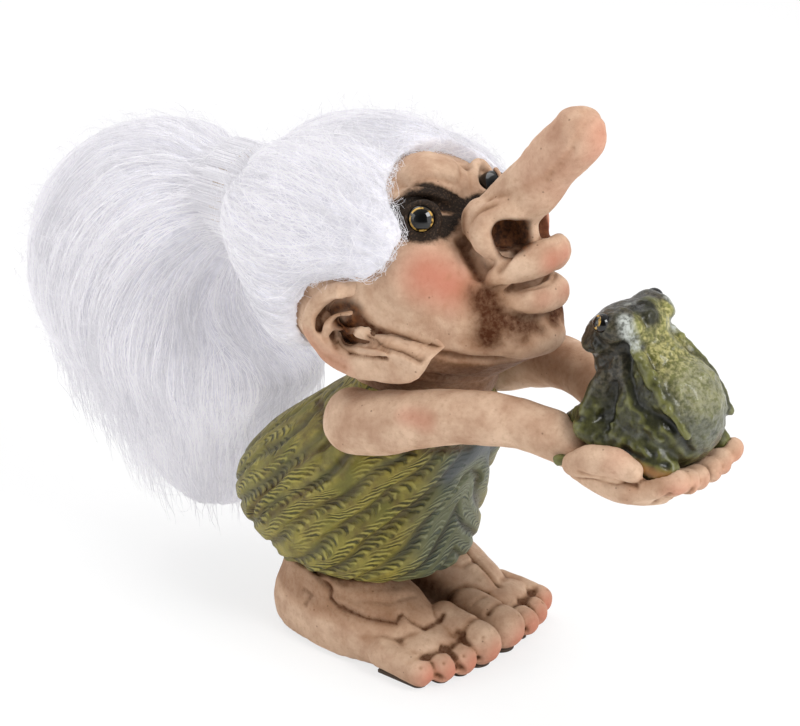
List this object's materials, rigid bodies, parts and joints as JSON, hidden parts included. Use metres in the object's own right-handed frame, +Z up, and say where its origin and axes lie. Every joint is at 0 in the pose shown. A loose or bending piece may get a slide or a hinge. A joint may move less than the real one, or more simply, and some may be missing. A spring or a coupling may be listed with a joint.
{
  "type": "norwegian troll figure",
  "caption": "Cast resin folk troll with a long nose, large ears and white tied hair, leaning forward to offer a frog on its cupped hands.",
  "frame": {"origin": "on the underside of the felt sole pad, midway between the two feet, below the ankles", "axes": "+Z up; -Y the way the troll faces and holds out the frog; +Y towards the hair; +X towards the troll's left hand"},
  "size_m": [0.0622, 0.2002, 0.1393],
  "materials": {
    "skin": "matt painted casting resin with brown wash in the creases",
    "tunic": "matt painted casting resin, olive green, dry-brushed",
    "frog_skin": "gloss-varnished painted casting resin",
    "eye_glass": "polished dark glass bead with a gold iris ring",
    "hair": "combed white wool",
    "tie_thread": "twisted thread",
    "felt": "thin self-adhesive felt"
  },
  "bodies": {
    "root": {"sole_pad": "felt", "leg_right": "skin", "leg_left": "skin", "tunic_body": "tunic", "arm_right": "skin", "arm_left": "skin", "head": "skin", "ear_right": "skin", "ear_left": "skin", "eye_right": "eye_glass", "eye_left": "eye_glass", "frog_body": "frog_skin", "frog_eye_right": "eye_glass", "frog_eye_left": "eye_glass", "hair_cap": "hair", "hair_tail": "hair", "hair_tie": "tie_thread"}
  },
  "joints": []
}
